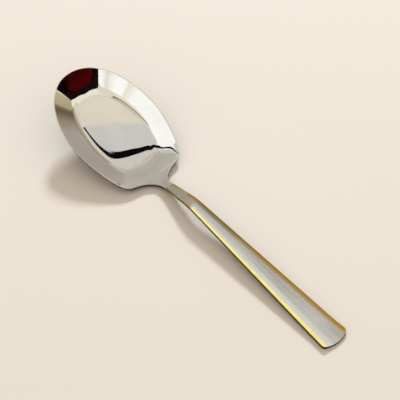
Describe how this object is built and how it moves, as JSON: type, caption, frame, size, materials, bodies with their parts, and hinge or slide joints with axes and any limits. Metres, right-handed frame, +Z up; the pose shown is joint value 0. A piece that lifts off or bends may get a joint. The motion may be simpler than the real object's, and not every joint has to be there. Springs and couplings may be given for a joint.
{
  "type": "rice serving spoon",
  "caption": "Polished steel rice serving spoon with a shallow flat-bottomed oval bowl, a slim neck and a widening handle with gilt edges.",
  "frame": {"origin": "on the table the spoon lies on, under the middle of its length and width", "axes": "+X from the bowl's tip to the handle's end, +Z up from the table, +Y to the right of someone who holds the handle's end at +X and looks along -X"},
  "size_m": [0.232, 0.0598, 0.0271],
  "materials": {
    "polished_steel": "mirror-polished stainless steel",
    "satin_steel": "satin stainless steel, brushed along its length",
    "gilt": "polished gold-coloured plating"
  },
  "bodies": {
    "root": {"bowl": "polished_steel", "handle": "satin_steel", "gilt_edge_left": "gilt", "gilt_edge_right": "gilt"}
  },
  "joints": []
}
